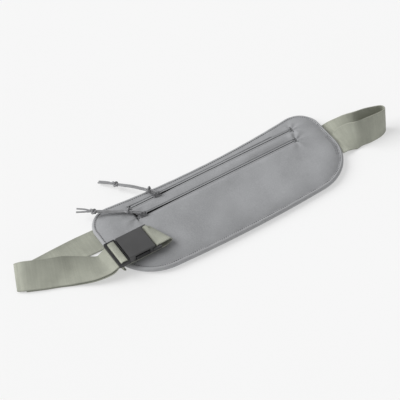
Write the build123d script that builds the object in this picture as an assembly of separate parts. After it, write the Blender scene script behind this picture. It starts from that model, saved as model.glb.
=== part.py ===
from build123d import *
import math
import os

# A money belt: a flat zipped pouch with an elastic webbing waist strap and a side-release buckle.
# Millimetres. X runs along the pouch, Y towards the zips, Z up out of the front face.
# The origin is the middle of the pouch's flat back face.

# Pouch
POUCH_LENGTH = 300.0
TOP_END_Y = 59.5  # the top edge where it meets the ends, before the corners are rounded
TOP_MID_Y = 48.5  # the top edge dips a little at the middle
BOTTOM_END_Y = -55.5
BOTTOM_MID_Y = -63.0  # the bottom edge bows outwards
LEAN = 0.01  # both edges climb this much for each unit of X
TOP_CORNER_RADIUS = 27.0
BOTTOM_CORNER_RADIUS = 56.0
POUCH_THICKNESS = 8.6
FABRIC = 0.8
LINING = 0.3
BINDING_WIDTH = 4.5
SEWN_GAP = 0.1  # room between sewn layers, so that each stays its own solid
DIVIDER_Z = 4.95  # underside of the lining between the two pockets
DIVIDER_TOP_Y = 26.8  # the lining is sewn to the face between the zips
STITCH = 0.4
SEAM_STITCH_INSETS = (5.2, 7.6)  # the two rows that hold each webbing end, from the edge

# Zips
MAIN_ZIP_Y = 35.5
FRONT_ZIP_Y = 18.5
ZIP_LEFT_X = -98.0
MAIN_ZIP_RIGHT_X = 112.5
FRONT_ZIP_RIGHT_X = 107.5
ZIP_ENDS = ((MAIN_ZIP_Y, MAIN_ZIP_RIGHT_X), (FRONT_ZIP_Y, FRONT_ZIP_RIGHT_X))
ZIP_SLOT_WIDTH = 8.0
ZIP_SLOT_OVERRUN = 2.5
TAPE_WIDTH = 7.4
TAPE_THICKNESS = 0.6
TAPE_Z = POUCH_THICKNESS - FABRIC - TAPE_THICKNESS - SEWN_GAP
COIL_GAP = 1.2  # the two rows of coil, apart
COIL_WIDTH = 1.3
COIL_HEIGHT = 0.9  # the coil is on the underside of its tape
MAIN_SLIDER_X = -65.5
FRONT_SLIDER_X = -93.3
SLIDER_LENGTH = 9.0
SLIDER_WIDE = 6.8
SLIDER_NARROW = 5.0
SLIDER_PLATE = 0.6
SLIDER_BOTTOM_Z = TAPE_Z - 1.75
SLIDER_TOP_Z = TAPE_Z + 0.85
SLIDER_LIP_HEIGHT = 1.4
BAIL_LENGTH = 7.0
BAIL_WIDTH = 1.2
BAIL_HEIGHT = 4.2
BAIL_WIRE = 1.0

# Cord pulls
CORD_RADIUS = 1.0
KNOT_RADIUS = 3.6
KNOT_TURN = 45.0  # turns the sphere's seam away from the strands
CORD_LOOP_HEIGHT = 4.4
CORD_LOOP_RADIUS = 0.8  # the cord is pulled thin where it goes round the bail
MAIN_CORD_PATH = [(-70.7, 43.2, 13.0), (-94.4, 79.4, 5.5), (-107.0, 97.0, 1.0)]
FRONT_CORD_PATH = [(-105.6, 28.5, 13.0), (-137.9, 50.5, 13.1), (-152.0, 64.3, 11.0)]
STRAND_SPREAD = 1.1  # each strand's distance from the pull's middle line
TAIL_SPREAD = 2.6

# Webbing and buckle. The buckle's X values are measured from the mouth of its female half.
WEB_WIDTH = 32.0
WEB_THICKNESS = 1.3
MOUTH_X = -140.2
BUCKLE_Y = -20.0
BUCKLE_WIDTH = 37.6
BUCKLE_MID_Z = POUCH_THICKNESS + 6.7
BAR_THICKNESS = 3.2
RAIL_WIDTH = 2.5
MALE_LENGTH = 14.0
OUTER_BAR_LENGTH = 2.5
MIDDLE_BAR = (-9.1, -3.7)
SHOULDER_LEFT = -1.4
GUIDE_RIGHT = 16.0
GUIDE_WIDTH = 4.4
SHELL_LENGTH = 31.4
SHELL_WIDTH = 33.6
SHELL_HEIGHT = 9.4
SHELL_WALL = 1.6
WINDOW = (6.5, 24.6)
END_BAR = (35.4, 38.2)
HALVES_GAP = 0.2
PRONG_INNER_Y = 11.6  # from the buckle's middle line
PRONG_OUTER_Y = 14.4
PAD_OUTER_Y = 18.3
PRONG_HEIGHT = 4.2
PRONG_ROOT_GAP = 0.15

# Webbing layers: two pass under the buckle over its tab, and one lies behind the pouch.
FLAT = (0.0, 1.0, 0.0)  # the width of a webbing run that lies flat
LAYER = WEB_THICKNESS + 0.2
TAB_Z = POUCH_THICKNESS + 1.15
TAIL_Z = TAB_Z + LAYER
STRAP_Z = TAIL_Z + LAYER
OVER_BAR_Z = BUCKLE_MID_Z + 2.05
TAIL_GAP = 1.75  # from the run that feeds the buckle down to the free tail
TAIL_SLIP = 1.2
BEHIND_Z = -WEB_THICKNESS / 2 - 0.3
BEHIND_REACH = POUCH_LENGTH / 2 + 1.5
BEHIND_RIGHT_Y = 12.0
BEHIND_LEFT_Y = 22.5
SEAM_RIGHT_Y = -10.0
SEAM_Z = 3.0
SEAM_INSET = 4.0


def block(x0, x1, y0, y1, z0, z1):
    """A box between two corners."""
    size = Box(x1 - x0, y1 - y0, z1 - z0)
    return Pos((x0 + x1) / 2, (y0 + y1) / 2, (z0 + z1) / 2) * size


def pouch_outline():
    """The pouch's outline: two bowed edges and two straight ends, with four rounded corners."""
    half = POUCH_LENGTH / 2
    rise = LEAN * half
    top_left, top_right = (-half, TOP_END_Y - rise), (half, TOP_END_Y + rise)
    bottom_left, bottom_right = (-half, BOTTOM_END_Y - rise), (half, BOTTOM_END_Y + rise)
    edges = [
        ThreePointArc(top_left, (0, TOP_MID_Y), top_right),
        Line(top_right, bottom_right),
        ThreePointArc(bottom_right, (0, BOTTOM_MID_Y), bottom_left),
        Line(bottom_left, top_left),
    ]
    face = make_face(edges)
    top = [v for v in face.vertices() if v.Y > 0]
    face = fillet(top, TOP_CORNER_RADIUS)
    bottom = [v for v in face.vertices() if v.Y < 0]
    return fillet(bottom, BOTTOM_CORNER_RADIUS)


def sheet(outline, inset, z, thickness):
    """A flat layer of the pouch, set in from the outline and lying at height z."""
    face = offset(outline, amount=-inset)
    return Pos(0, 0, z) * extrude(face, amount=thickness, dir=(0, 0, 1))


def sewn_slot(x_edge, y, z, depth):
    """The room that a webbing end takes inside the edge binding."""
    inner = x_edge - math.copysign(depth, x_edge)
    low, high = sorted((inner, x_edge + math.copysign(1.0, x_edge)))
    half = WEB_WIDTH / 2 + SEWN_GAP
    rise = WEB_THICKNESS / 2 + SEWN_GAP
    return block(low, high, y - half, y + half, z - rise, z + rise)


def edge_binding(outline):
    """The folded tape round the whole edge, open where the two webbing ends are sewn in."""
    ring = sheet(outline, 0, 0, POUCH_THICKNESS) - sheet(
        outline, BINDING_WIDTH, -1, POUCH_THICKNESS + 2
    )
    depth = BINDING_WIDTH + 1
    ring -= sewn_slot(POUCH_LENGTH / 2, SEAM_RIGHT_Y, SEAM_Z, depth)
    return ring - sewn_slot(-POUCH_LENGTH / 2, BUCKLE_Y, SEAM_Z, depth)


def binding_stitch(outline):
    """The line of thread that holds the binding down."""
    outer = BINDING_WIDTH - 2 * STITCH
    z = POUCH_THICKNESS + SEWN_GAP / 2
    return sheet(outline, outer, z, STITCH) - sheet(
        outline, outer + STITCH, z - 1, STITCH + 2
    )


def front_panel(outline):
    """The face of the pouch, with a slot for each zip."""
    panel = sheet(
        outline, BINDING_WIDTH + SEWN_GAP, POUCH_THICKNESS - FABRIC, FABRIC
    )
    for y, right in ZIP_ENDS:
        panel -= block(
            ZIP_LEFT_X - ZIP_SLOT_OVERRUN,
            right + ZIP_SLOT_OVERRUN,
            y - ZIP_SLOT_WIDTH / 2,
            y + ZIP_SLOT_WIDTH / 2,
            0,
            POUCH_THICKNESS + 1,
        )
    return panel


def divider_panel(outline):
    """The lining between the front pocket and the main pocket."""
    panel = sheet(outline, BINDING_WIDTH + SEWN_GAP, DIVIDER_Z, LINING)
    above = block(
        -POUCH_LENGTH, POUCH_LENGTH, DIVIDER_TOP_Y, POUCH_LENGTH, 0, POUCH_THICKNESS
    )
    return panel - above


def zip_tape(y, right, side):
    """One half of a zip's woven tape: side is 1 for the upper half, -1 for the lower."""
    low, high = sorted((y + side * COIL_GAP / 2, y + side * (COIL_GAP / 2 + TAPE_WIDTH)))
    return block(ZIP_LEFT_X, right, low, high, TAPE_Z, TAPE_Z + TAPE_THICKNESS)


def zip_coil(y, right, side):
    """One row of coil, under the edge of its tape."""
    low, high = sorted((y + side * COIL_GAP / 2, y + side * (COIL_GAP / 2 + COIL_WIDTH)))
    top = TAPE_Z - SEWN_GAP / 2
    return block(ZIP_LEFT_X, right, low, high, top - COIL_HEIGHT, top)


def zip_stops(y, right):
    """The two crimped stops, one past each end of the coil."""
    half = COIL_GAP / 2 + COIL_WIDTH
    bottom, top = TAPE_Z - COIL_HEIGHT, TAPE_Z + TAPE_THICKNESS
    length = ZIP_SLOT_OVERRUN - 4 * SEWN_GAP
    ends = (ZIP_LEFT_X - SEWN_GAP - length, right + SEWN_GAP)
    left, right = (block(x, x + length, y - half, y + half, bottom, top) for x in ends)
    return left + right


def bar_tacks():
    """The dense stitching across both ends of both zip slots."""
    tacks = []
    z = POUCH_THICKNESS + SEWN_GAP / 2
    reach = ZIP_SLOT_OVERRUN + 1.0
    half_tack = 0.8
    half = ZIP_SLOT_WIDTH / 2
    for y, right in ZIP_ENDS:
        for x in (ZIP_LEFT_X - reach, right + reach):
            tacks.append(block(x - half_tack, x + half_tack, y - half, y + half, z, z + STITCH))
    return Compound(children=tacks)


def slider(x, y):
    """A zip slider: plates over the tape and under the coil, a post, side lips and a bail for the cord."""
    half = SLIDER_LENGTH / 2
    plan = Polygon(
        (-half, -SLIDER_NARROW / 2),
        (half, -SLIDER_WIDE / 2),
        (half, SLIDER_WIDE / 2),
        (-half, SLIDER_NARROW / 2),
        align=None,
    )
    plan = fillet(plan.vertices(), 1.0)
    overlap = 0.1
    bottom = Pos(0, 0, SLIDER_BOTTOM_Z) * extrude(plan, amount=SLIDER_PLATE)
    top = Pos(0, 0, SLIDER_TOP_Z) * extrude(plan, amount=SLIDER_PLATE)
    post_right = half - 0.4
    half_post = 0.4
    body = bottom + top
    body += block(
        post_right - 2.2, post_right, -half_post, half_post, SLIDER_BOTTOM_Z, SLIDER_TOP_Z + overlap
    )
    lip_y = COIL_GAP / 2 + COIL_WIDTH + 0.2
    lips = Pos(0, 0, SLIDER_BOTTOM_Z) * extrude(plan, amount=SLIDER_LIP_HEIGHT)
    body += lips - block(-half, half, -lip_y, lip_y, 0, SLIDER_TOP_Z)
    deck = SLIDER_TOP_Z + SLIDER_PLATE
    half_bail, half_wire = BAIL_LENGTH / 2, BAIL_WIDTH / 2
    bail = block(-half_bail, half_bail, -half_wire, half_wire, deck - overlap, deck + BAIL_HEIGHT)
    hole = half_bail - BAIL_WIRE
    bail -= block(-hole, hole, -BAIL_WIDTH, BAIL_WIDTH, deck, deck + BAIL_HEIGHT - BAIL_WIRE)
    return Pos(x, y, 0) * (body + bail)


def bail_centre(x, y):
    """The middle of a slider's bail bar, which its cord goes round."""
    return Vector(x, y, SLIDER_TOP_Z + SLIDER_PLATE + BAIL_HEIGHT - BAIL_WIRE / 2)


def cord_loop(x, y, path):
    """The loop of cord round the bail, with the knot that closes it."""
    centre = bail_centre(x, y)
    knot = Vector(*path[0])
    length = (knot - centre).length + CORD_LOOP_HEIGHT / 2
    reach = (knot - centre).normalized()
    side = reach.cross(Vector(0, 0, 1)).normalized()
    middle = centre + reach * (length / 2 - CORD_LOOP_HEIGHT / 2)
    plane = Plane(origin=middle, x_dir=reach, z_dir=side)
    spine = plane * SlotOverall(length, CORD_LOOP_HEIGHT)
    wire = spine.wire()
    start = Plane(origin=wire @ 0, z_dir=wire % 0)
    loop = sweep(start * Circle(CORD_LOOP_RADIUS), path=wire)
    return loop + Pos(*knot) * Sphere(KNOT_RADIUS)


def rod(start, end):
    """A straight length of cord."""
    direction = end - start
    plane = Plane(origin=start, z_dir=direction)
    return extrude(plane * Circle(CORD_RADIUS), amount=direction.length)


def cord_pull(path):
    """The two strands past the first knot, the second knot and the two loose tails."""
    first, second, tip = (Vector(*p) for p in path)
    run = (second - first).normalized()
    side = run.cross(Vector(0, 0, 1)).normalized()
    start = first + run * (KNOT_RADIUS + 2 * SEWN_GAP)
    inside = run * (KNOT_RADIUS / 2)
    pull = Pos(*second) * Rot(0, 0, KNOT_TURN) * Sphere(KNOT_RADIUS)
    for sign in (-1, 1):
        shift = side * (sign * STRAND_SPREAD)
        pull += rod(start + shift, second + shift - inside)
        pull += rod(second + shift + inside, tip + side * (sign * TAIL_SPREAD))
    return pull


def curve_through(points, steps):
    """Points along a smooth (Catmull-Rom) curve through the given ones."""
    result = []
    last = len(points) - 1
    for i in range(last):
        a, b = points[max(i - 1, 0)], points[i]
        c, d = points[i + 1], points[min(i + 2, last)]
        for k in range(steps):
            t = k / steps
            result.append(
                (b * 2 + (c - a) * t + (a * 2 - b * 5 + c * 4 - d) * t**2
                 + (b * 3 - a - c * 3 + d) * t**3) * 0.5
            )
    return result + [points[-1]]


def band(stations, steps):
    """Webbing through stations, each the run's middle point and the direction of its width."""
    middles = curve_through([Vector(*middle) for middle, _ in stations], steps)
    widths = curve_through([Vector(*width) for _, width in stations], steps)
    last = len(middles) - 1
    sections = []
    for i, (middle, width) in enumerate(zip(middles, widths)):
        along = middles[min(i + 1, last)] - middles[max(i - 1, 0)]
        normal = along.cross(width).normalized()
        plane = Plane(origin=middle, x_dir=width, z_dir=width.cross(normal))
        sections.append(plane * Rectangle(WEB_WIDTH, WEB_THICKNESS))
    return loft(sections, ruled=True)


def level_run(y, profile, width=FLAT):
    """Stations of a webbing run that is level across its width, from points in the XZ plane."""
    return [((x, y, z), width) for x, z in profile]


def beneath(stations, gap, slip):
    """The way back under a run: a gap below its stations and slipped towards its near edge."""
    last = len(stations) - 1
    lower = []
    for i, (middle, width) in enumerate(stations):
        along = Vector(*stations[min(i + 1, last)][0]) - Vector(*stations[max(i - 1, 0)][0])
        across = Vector(*width).normalized()
        up = along.cross(across).normalized()
        lower.append((tuple(Vector(*middle) - up * gap - across * slip), width))
    return lower[::-1]


def waist_strap():
    """The long webbing: sewn into the right end, round behind the pouch, and through the male half.

    The free tail comes back under the run that feeds the buckle.
    """
    end = POUCH_LENGTH / 2
    right_loop = [
        ((end - SEAM_INSET, SEAM_RIGHT_Y, SEAM_Z), FLAT),
        ((end + 1, SEAM_RIGHT_Y, SEAM_Z), FLAT),
        ((end + 3, SEAM_RIGHT_Y, SEAM_Z), FLAT),
        ((160.5, -11.1, 6.1), (-0.02, 0.93, 0.37)),
        ((171, -19.6, 14.3), (0, 0.40, 0.92)),
        ((185, -20.7, 13.9), (0.05, 0.37, 0.93)),
        ((197, -21.3, 14.3), (0.04, 0.30, 0.95)),
        ((205, -20.8, 14.8), (0.02, 0.19, 0.98)),
        ((209.6, -18.6, 15.2), (0, 0.10, 0.99)),
        ((211, -15, 15.2), (0, 0.08, 1)),
        ((209.3, -11.6, 15.1), (0, 0.10, 0.99)),
        ((203, -9.3, 14.9), (0.02, 0.16, 0.99)),
        ((191, -6.3, 14.5), (0.04, 0.26, 0.96)),
        ((177, -4.5, 13.2), (0.02, 0.45, 0.89)),
        ((166, 2, 6.9), (0, 0.86, 0.51)),
        ((158, 9.4, 1.4), (0, 0.98, 0.16)),
    ]
    behind = [
        ((BEHIND_REACH, BEHIND_RIGHT_Y, BEHIND_Z), FLAT),
        ((BEHIND_REACH - 3, BEHIND_RIGHT_Y, BEHIND_Z), FLAT),
        ((0, (BEHIND_RIGHT_Y + BEHIND_LEFT_Y) / 2, BEHIND_Z), FLAT),
        ((-BEHIND_REACH, BEHIND_LEFT_Y, BEHIND_Z), FLAT),
    ]
    left_loop = [
        ((-172, 23, -0.8), FLAT),
        ((-200, 22.5, -0.9), FLAT),
        ((-228, 21.5, -0.5), (0.06, 0.99, 0)),
        ((-243, 21, 1.2), (0.25, 0.96, 0.08)),
        ((-251, 20.5, 5.6), (0.36, 0.86, 0.36)),
    ]
    feed = [
        ((-243.5, 12.5, 10.8), (0.33, 0.72, 0.61)),
        ((-226.5, 3.8, 11.5), (0.29, 0.69, 0.66)),
        ((-209, -3.2, 11.1), (0.25, 0.71, 0.66)),
        ((-194, -8.1, 8.4), (0.26, 0.88, 0.40)),
        ((-179, -15, 7.6), (0.20, 0.97, 0.16)),
        ((-166, -19.3, 7.7), (0.05, 1, -0.06)),
        ((-160, -20, 9.9), (0, 1, -0.05)),
    ]
    slot_left = MIDDLE_BAR[0] - 1.2
    slot_right = MIDDLE_BAR[1] + 1.2
    wrap = [
        (-14, STRAP_Z), (slot_left - 1.8, STRAP_Z - 0.1),
        (slot_left - 0.5, BUCKLE_MID_Z - 2.2), (slot_left, BUCKLE_MID_Z - 0.2),
        (slot_left + 0.3, BUCKLE_MID_Z + 1.5), (slot_left + 1.5, OVER_BAR_Z),
        ((slot_left + slot_right) / 2, OVER_BAR_Z + 0.2), (slot_right - 1.5, OVER_BAR_Z),
        (slot_right - 0.3, BUCKLE_MID_Z + 1.5), (slot_right, BUCKLE_MID_Z - 0.2),
        (slot_right - 0.1, BUCKLE_MID_Z - 1.6), (slot_right - 0.8, BUCKLE_MID_Z - 3),
        (slot_right - 2.4, TAIL_Z + 0.1), (slot_right - 4.5, TAIL_Z), (-14, TAIL_Z),
    ]
    ladder = level_run(BUCKLE_Y, [(MOUTH_X + x, z) for x, z in wrap])
    tail = beneath(feed, TAIL_GAP, TAIL_SLIP)
    return band(right_loop + behind + left_loop + feed + ladder + tail, 2)


def buckle_tab():
    """The short webbing: sewn into the left end, folded over the face and round the female half's bar."""
    edge = -POUCH_LENGTH / 2
    bar_left = MOUTH_X + END_BAR[0]
    climb = (SEAM_Z + TAB_Z) / 2
    clearance = (BAR_THICKNESS + WEB_THICKNESS) / 2 + 0.2
    top = BUCKLE_MID_Z + clearance
    under = BUCKLE_MID_Z - clearance
    seam_skew = (-0.2, 0.98, 0)
    lower = level_run(BUCKLE_Y, [(edge + SEAM_INSET, SEAM_Z), (edge + 2.5, SEAM_Z)])
    lower += level_run(
        BUCKLE_Y,
        [
            (edge + 0.2, SEAM_Z), (edge - 1.4, SEAM_Z + 0.7), (edge - 2, climb - 1),
            (edge - 2, climb + 1), (edge - 1.2, TAB_Z - 0.8), (edge + 0.6, TAB_Z),
        ],
        seam_skew,
    )
    lower += level_run(BUCKLE_Y, [(edge + 10, TAB_Z), (bar_left - 1, TAB_Z)])
    skew = (-0.34, 0.94, 0)
    fold = [
        ((bar_left + 8.5, BUCKLE_Y, TAB_Z + 0.6), skew),
        ((bar_left + 12.5, BUCKLE_Y, (TAB_Z + top) / 2), skew),
        ((bar_left + 9, BUCKLE_Y, top - 0.9), skew),
    ]
    upper = level_run(
        BUCKLE_Y,
        [
            (bar_left + 2.9, top), (bar_left + 0.2, top), (bar_left - 1.2, top - 0.6),
            (bar_left - 1.8, BUCKLE_MID_Z + 0.8), (bar_left - 1.8, BUCKLE_MID_Z - 0.8),
            (bar_left - 1.2, under + 0.6), (bar_left + 0.2, under), (bar_left + 3.9, under + 0.2),
        ],
    )
    return band(lower + fold + upper, 2)


def buckle_block(x0, x1, y0, y1, height):
    """A block of the buckle: x from its mouth, y from its middle line, centred on its mid height."""
    z0, z1 = BUCKLE_MID_Z - height / 2, BUCKLE_MID_Z + height / 2
    return block(MOUTH_X + x0, MOUTH_X + x1, BUCKLE_Y + y0, BUCKLE_Y + y1, z0, z1)


def buckle_female():
    """The socket half: a flat shell, open at the mouth and at both sides, with a webbing bar."""
    half = SHELL_WIDTH / 2
    wall = SHELL_WALL
    cavity = SHELL_HEIGHT - 2 * wall
    shell = buckle_block(0, SHELL_LENGTH, -half, half, SHELL_HEIGHT)
    shell = fillet(shell.edges().filter_by(Axis.X), 1.2)
    shell -= buckle_block(-1, SHELL_LENGTH - wall, wall - half, half - wall, cavity)
    shell -= buckle_block(*WINDOW, -half - 1, half + 1, cavity)
    side = BUCKLE_WIDTH / 2
    for low, high in ((-side, RAIL_WIDTH - side), (side - RAIL_WIDTH, side)):
        shell += buckle_block(SHELL_LENGTH - 3, END_BAR[1], low, high, BAR_THICKNESS)
    return shell + buckle_block(*END_BAR, -side, side, BAR_THICKNESS)


def buckle_male():
    """The plug half: a ladder frame for the webbing, a shoulder and the centre guide."""
    side = BUCKLE_WIDTH / 2
    frame = buckle_block(-MALE_LENGTH, -HALVES_GAP, -side, side, BAR_THICKNESS)
    frame = fillet(frame.edges().filter_by(Axis.Z), 1.5)
    opening = side - RAIL_WIDTH
    frame -= buckle_block(
        OUTER_BAR_LENGTH - MALE_LENGTH, SHOULDER_LEFT, -opening, opening, 2 * BAR_THICKNESS
    )
    frame += buckle_block(*MIDDLE_BAR, 1 - side, side - 1, BAR_THICKNESS - 1)
    half = GUIDE_WIDTH / 2
    return frame + buckle_block(-HALVES_GAP - 1, GUIDE_RIGHT, -half, half, BAR_THICKNESS - 1)


def prong(side):
    """One springy arm of the male half, with the pad that is squeezed to release it."""
    root = PRONG_ROOT_GAP - HALVES_GAP
    tip = WINDOW[1] - 1
    low, high = sorted((side * PRONG_INNER_Y, side * PRONG_OUTER_Y))
    arm = buckle_block(root, tip, low, high, PRONG_HEIGHT)
    low, high = sorted((side * PRONG_INNER_Y, side * PAD_OUTER_Y))
    pad = buckle_block(WINDOW[0] + 0.4, tip, low, high, PRONG_HEIGHT)
    pad = fillet(pad.edges().filter_by(Axis.Z).sort_by(Axis.X)[-2:], 1.3)
    return arm + pad


def seam_stitch(outline, side, y):
    """Two rows of thread that hold a webbing end in the pouch's edge, on the side given by its sign."""
    half = WEB_WIDTH / 2 - 1
    z = POUCH_THICKNESS + SEWN_GAP / 2
    low, high = sorted((0, side * POUCH_LENGTH))
    reach = block(low, high, y - half, y + half, 0, 2 * POUCH_THICKNESS)
    rows = []
    for inset in SEAM_STITCH_INSETS:
        ring = sheet(outline, inset, z, STITCH) - sheet(outline, inset + STITCH, z - 1, STITCH + 2)
        rows += (ring & reach).solids()
    return Compound(children=rows)


def build():
    outline = pouch_outline()
    inset = BINDING_WIDTH + SEWN_GAP
    parts = {
        "back_panel": sheet(outline, inset, 0, FABRIC),
        "divider_panel": divider_panel(outline),
        "front_panel": front_panel(outline),
        "edge_binding": edge_binding(outline),
        "binding_stitch": binding_stitch(outline),
        "bar_tacks": bar_tacks(),
        "waist_strap": waist_strap(),
        "buckle_tab": buckle_tab(),
        "strap_stitch": seam_stitch(outline, 1, SEAM_RIGHT_Y),
        "tab_stitch": seam_stitch(outline, -1, BUCKLE_Y),
        "buckle_female": buckle_female(),
        "buckle_male": buckle_male(),
        "prong_upper": prong(1),
        "prong_lower": prong(-1),
    }
    zips = (
        ("main", *ZIP_ENDS[0], MAIN_SLIDER_X, MAIN_CORD_PATH),
        ("front", *ZIP_ENDS[1], FRONT_SLIDER_X, FRONT_CORD_PATH),
    )
    for name, y, right, slider_x, path in zips:
        for side, word in ((1, "upper"), (-1, "lower")):
            parts[f"{name}_tape_{word}"] = zip_tape(y, right, side)
            parts[f"{name}_coil_{word}"] = zip_coil(y, right, side)
        parts[name + "_zip_stops"] = zip_stops(y, right)
        parts[name + "_slider"] = slider(slider_x, y)
        parts[name + "_cord_loop"] = cord_loop(slider_x, y, path)
        parts[name + "_cord"] = cord_pull(path)
    return parts


os.makedirs("parts", exist_ok=True)
for node, shape in build().items():
    export_step(shape, f"parts/{node}.step")
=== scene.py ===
import bpy
import math
import numpy as np
from mathutils import Matrix, Vector, noise


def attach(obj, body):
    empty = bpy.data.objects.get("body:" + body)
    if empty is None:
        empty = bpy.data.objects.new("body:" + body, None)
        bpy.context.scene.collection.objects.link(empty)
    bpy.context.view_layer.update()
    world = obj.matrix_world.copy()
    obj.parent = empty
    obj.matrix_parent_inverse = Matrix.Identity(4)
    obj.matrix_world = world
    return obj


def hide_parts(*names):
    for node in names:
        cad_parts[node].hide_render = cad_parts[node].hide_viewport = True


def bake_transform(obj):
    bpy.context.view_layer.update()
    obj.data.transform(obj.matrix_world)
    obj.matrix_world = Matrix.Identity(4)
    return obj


# A money belt laid out on a pale floor. Lengths are in millimetres until a mesh is made.
# X runs along the pouch, Y towards the zips and Z up out of its face, as in the CAD frame.
MM = 0.001

# Pouch outline: two bowed edges, two straight ends and four rounded corners
HALF_LENGTH = 150.0
TOP_END_Y, TOP_MID_Y = 59.5, 48.5
BOTTOM_END_Y, BOTTOM_MID_Y = -55.5, -63.0
LEAN = 0.01  # both edges climb this much for each unit of X
TOP_CORNER, BOTTOM_CORNER = 27.0, 56.0

# Pouch section
RIM_Z = 5.0
FACE_Z = 8.6
DOME_REACH = 21.0
PANEL_INSET = 2.6  # the panels end inside the binding
LINING_INSET = 6.0
LINING_TOP_Y = 26.8  # the lining is sewn to the face between the zips
FACE_FABRIC, BACK_FABRIC, LINING_FABRIC = 0.5, 0.6, 0.35
BACK_Z = 0.75
LINING_Z = 2.9

# Unevenness of the face by the zips: middle in X and Y, then reach in X and Y
BULGE, BULGE_HEIGHT = (-112, 18.5, 6.0, 5.5), 1.0  # left of the front zip
DIP, DIP_DEPTH = (-91, 27, 6.0, 3.2), 1.3  # at the free end of the strip between the zips

# Stitching
BINDING_STITCH_INSET = 3.6
BINDING_STITCH_TOP_Z = 5.72
BINDING_STITCH_LENGTH = 1.3
SEAM_STITCH_INSETS = (5.4, 7.8)
SEAM_STITCH_LENGTH = 1.35
TACK_REACH, TACK_HALF_WIDTH, TACK_HALF_HEIGHT = 1.1, 0.8, 4.6
TACK_POINTS = 11
FACE_THREAD, BACK_THREAD = 0.36, 0.16
SEAM_THREAD, TACK_THREAD = 0.22, 0.2

# Zips
MAIN_ZIP_Y, FRONT_ZIP_Y = 35.5, 18.5
ZIP_LEFT = -98.0
MAIN_ZIP_RIGHT, FRONT_ZIP_RIGHT = 112.5, 107.5
ZIPS = ((MAIN_ZIP_Y, MAIN_ZIP_RIGHT), (FRONT_ZIP_Y, FRONT_ZIP_RIGHT))
MAIN_SLIDER_X, FRONT_SLIDER_X = -65.5, -93.3
ZIP_Z = 7.85  # the face dips to this along each zip
SLOT_HALF = 2.6
SLOT_OVERRUN = 2.4
STRIP_SLIT_HALF = 0.8  # half the slit at the free left end of the strip between the zips
TAPE_REACH = 8.0
TAPE_CLOTH = 0.4
COIL_Z = 6.7
COIL_PITCH = 1.4
CLOSED_HALF_GAP = 0.45
MAIN_PARTING, FRONT_PARTING = 12.0, 30.0  # how far right of its slider each zip stays parted

# Cords
CORD_RADIUS = 1.0
EYE_RADIUS = 0.8  # the cord is pulled thin where it goes through the bail
EYE_HALF_HEIGHT = 1.5
STRAND_SPREAD = 1.05
KNOT_SIZE = 1.2
BAIL_Z = 12.25
MAIN_CORD = [(-70.7, 43.2, 13.0), (-94.4, 79.4, 5.5), (-107.0, 97.0, 1.0)]
FRONT_CORD = [(-105.6, 28.5, 13.0), (-137.9, 50.5, 13.1), (-152.0, 64.3, 11.0)]

# Webbing and buckle
WEB_WIDTH = 32.0
WEB_THICKNESS = 1.25
RIB_PITCH = 1.5
RIB_DEPTH = 0.07  # as a share of the thickness
SEAM_Z = 3.0
STRAP_SEAM_Y = -10.0
BUCKLE_Y = -20.0
MOUTH_X = -140.2
BUCKLE_MID_Z = 15.3
END_BAR_X = MOUTH_X + 35.4
TAB_Z = 9.75
TAIL_Z = 11.25
STRAP_Z = 12.75
OVER_BAR_Z = 17.35
LADDER_SLOTS = (-10.3, -2.5)  # the webbing's X in both slots of the ladder, from the mouth
TAIL_GAP, TAIL_SLIP = 1.75, 1.2
BEHIND_Z = -0.95
FLAT = (0.0, 1.0, 0.0)  # the width of a run that lies flat

# Floor
FLOOR_Z = -2.1
FLOOR_HALF = 6000.0

# Light
SUN_FROM = (-0.68, 0.46, 0.62)
SUN_STRENGTH, SUN_SPREAD = 2.9, 46.0
SKY_STRENGTH = 0.48
FLOOR_GLOW = 0.45  # the floor is a lit table, which keeps the shadows weak

# Camera
CAMERA_AZIMUTH, CAMERA_ELEVATION, CAMERA_ROLL = -29.31, 47.26, -4.0
CAMERA_DISTANCE = 1.7371
CAMERA_SHIFT = (-0.0589, -0.0131)
CAMERA_LENS = 139.27


# ---------------------------------------------------------------- outline

def bow_radius(end_y, mid_y):
    """Radius of the arc through both ends and the middle of a bowed edge."""
    rise = abs(end_y - mid_y)
    return (HALF_LENGTH**2 + rise**2) / (2 * rise)


TOP_BOW = bow_radius(TOP_END_Y, TOP_MID_Y)
BOTTOM_BOW = bow_radius(BOTTOM_END_Y, BOTTOM_MID_Y)
TOP_BOW_Y = TOP_MID_Y + TOP_BOW
BOTTOM_BOW_Y = BOTTOM_MID_Y + BOTTOM_BOW
TOP_CORNER_X = HALF_LENGTH - TOP_CORNER
BOTTOM_CORNER_X = HALF_LENGTH - BOTTOM_CORNER
TOP_CORNER_Y = TOP_BOW_Y - math.sqrt((TOP_BOW + TOP_CORNER) ** 2 - TOP_CORNER_X**2)
BOTTOM_CORNER_Y = BOTTOM_BOW_Y - math.sqrt((BOTTOM_BOW - BOTTOM_CORNER) ** 2 - BOTTOM_CORNER_X**2)


def top_edge(x, inset):
    """Height in Y of the pouch's top edge at x, set in from the outline."""
    rise, x = LEAN * x, np.abs(x)
    radius, corner = TOP_BOW + inset, TOP_CORNER - inset
    tangent = TOP_CORNER_X * TOP_BOW / (TOP_BOW + TOP_CORNER)
    bow = TOP_BOW_Y - np.sqrt(radius**2 - x**2)
    arc = TOP_CORNER_Y + np.sqrt(np.maximum(corner**2 - (x - TOP_CORNER_X) ** 2, 0))
    return rise + np.where(x < tangent, bow, arc)


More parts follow.
